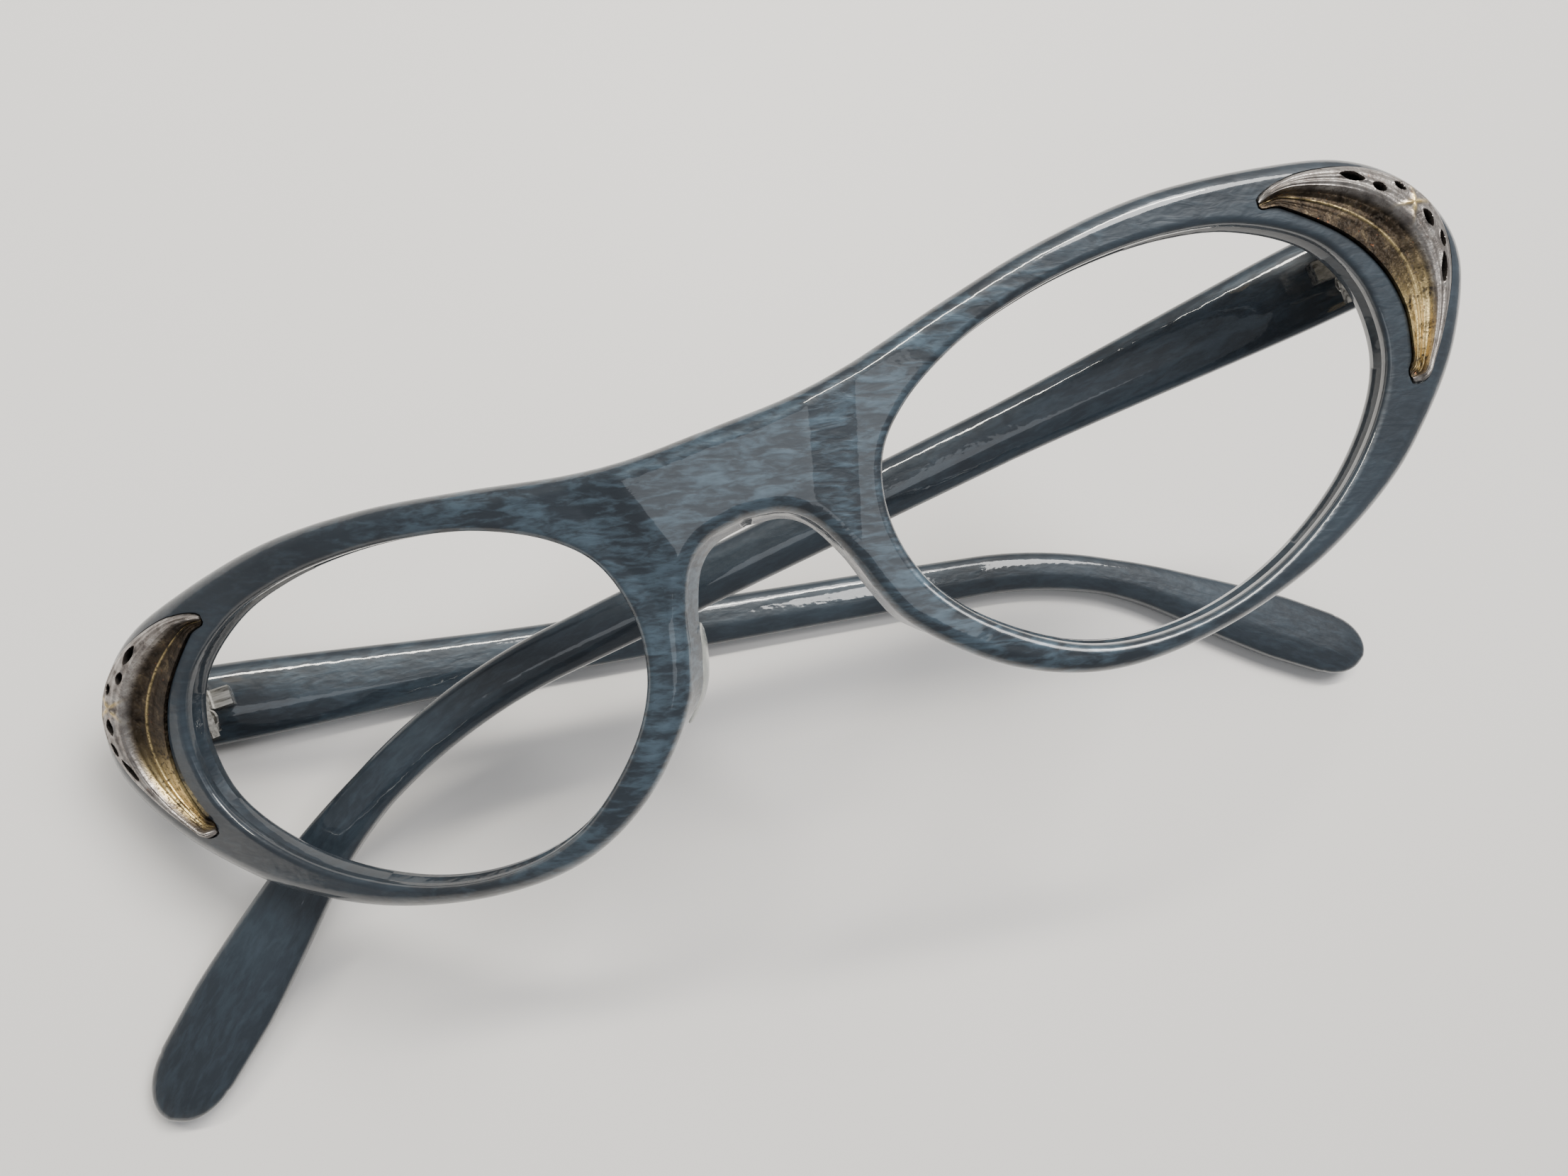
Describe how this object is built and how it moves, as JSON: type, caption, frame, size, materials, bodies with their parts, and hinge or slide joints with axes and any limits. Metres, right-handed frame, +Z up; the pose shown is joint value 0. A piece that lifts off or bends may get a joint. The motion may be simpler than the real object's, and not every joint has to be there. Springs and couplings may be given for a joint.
{
  "type": "eyeglasses frame",
  "caption": "Cat-eye eyeglasses frame without lenses: plastic front with crescent metal end trims, and two folding temples on barrel hinges, laid down folded.",
  "frame": {"origin": "centre of the bounding box's base, on the table that the folded glasses lie on", "axes": "+Z up, +X along the front towards the wearer's left end, +Y towards the front's top edge"},
  "size_m": [0.1558, 0.0568, 0.0615],
  "materials": {
    "acetate": "polished mottled pearl, dark blue-grey",
    "pad_plastic": "translucent, slightly milky",
    "trim_metal": "plated silver and gold, worn and tarnished",
    "pin_metal": "plain drawn wire",
    "hinge_metal": "dull plated"
  },
  "bodies": {
    "front": {"front": "acetate", "nose_pad_left": "pad_plastic", "nose_pad_right": "pad_plastic", "trim_left": "trim_metal", "trim_right": "trim_metal", "trim_pin_left_upper": "pin_metal", "trim_pin_left_lower": "pin_metal", "trim_pin_right_upper": "pin_metal", "trim_pin_right_lower": "pin_metal", "front_rivet_left_upper": "hinge_metal", "front_rivet_left_lower": "hinge_metal", "front_rivet_right_upper": "hinge_metal", "front_rivet_right_lower": "hinge_metal", "front_hinge_leaf_left": "hinge_metal", "front_hinge_leaf_right": "hinge_metal", "hinge_screw_left": "hinge_metal", "hinge_screw_right": "hinge_metal"},
    "temple_left": {"temple_left": "acetate", "core_wire_left": "pin_metal", "temple_hinge_leaf_left": "hinge_metal"},
    "temple_right": {"temple_right": "acetate", "core_wire_right": "pin_metal", "temple_hinge_leaf_right": "hinge_metal"}
  },
  "joints": [
    {"name": "temple_left_fold", "type": "hinge", "parent": "front", "child": "temple_left", "pos_m": [0.05247, 0.01855, 0.05119], "axis": [-0.0142, -0.9993, 0.0356], "range_deg": [0, 91.7]},
    {"name": "temple_right_fold", "type": "hinge", "parent": "front", "child": "temple_right", "pos_m": [-0.06104, 0.01855, 0.00592], "axis": [0.0142, 0.9993, -0.0356], "range_deg": [0, 67.7]}
  ],
  "couplings": [
    {"joint": "temple_left_fold", "follows": "temple_right_fold", "ratio": 0.6}
  ]
}
